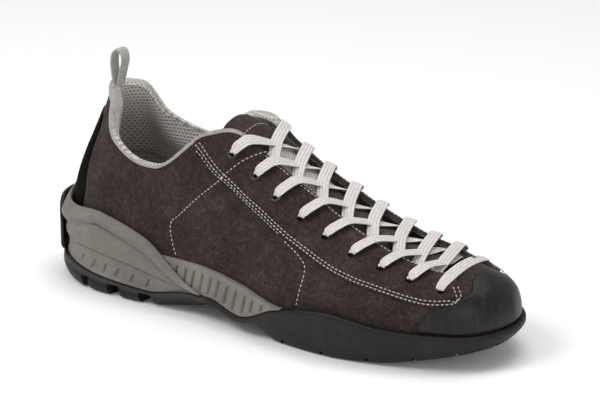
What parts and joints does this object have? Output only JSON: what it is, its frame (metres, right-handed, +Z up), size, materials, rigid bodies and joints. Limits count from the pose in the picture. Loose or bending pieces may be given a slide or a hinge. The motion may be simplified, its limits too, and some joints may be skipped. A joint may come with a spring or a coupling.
{
  "type": "approach shoe",
  "caption": "Low right-foot approach shoe in dark suede with a toe-length lace, black toe cap, grey heel cup and ribbed wedge on a lugged rubber outsole.",
  "frame": {"origin": "middle of the shoe's plan on the floor", "axes": "+X from heel to toe, +Y to the inner (medial) side, +Z up"},
  "size_m": [0.2952, 0.1042, 0.1351],
  "materials": {
    "suede": "napped, matt",
    "toe_rubber": "smooth, satin",
    "sole_rubber": "moulded, satin",
    "grey_sole": "moulded, satin",
    "lining": "spacer mesh, matt",
    "webbing": "woven, matt",
    "lace": "flat woven, matt",
    "eyelet": "dark, satin",
    "footbed": "matt"
  },
  "bodies": {
    "root": {"outsole": "sole_rubber", "midsole": "grey_sole", "heel_cup": "grey_sole", "heel_tab": "sole_rubber", "insole": "footbed", "upper": "suede", "toe_cap": "toe_rubber", "backstay": "toe_rubber", "eyestay_lateral": "suede", "eyestay_medial": "suede", "collar_pad": "lining", "tongue": "suede", "pull_loop": "webbing", "lace_crossing_1": "lace", "lace_crossing_2": "lace", "lace_crossing_3": "lace", "lace_crossing_4": "lace", "lace_crossing_5": "lace", "lace_crossing_6": "lace", "lace_crossing_7": "lace", "lace_crossing_8": "lace", "lace_toe_bar": "lace", "eyelet_lateral_1": "eyelet", "eyelet_medial_1": "eyelet", "eyelet_lateral_2": "eyelet", "eyelet_medial_2": "eyelet", "eyelet_lateral_3": "eyelet", "eyelet_medial_3": "eyelet"}
  },
  "joints": []
}
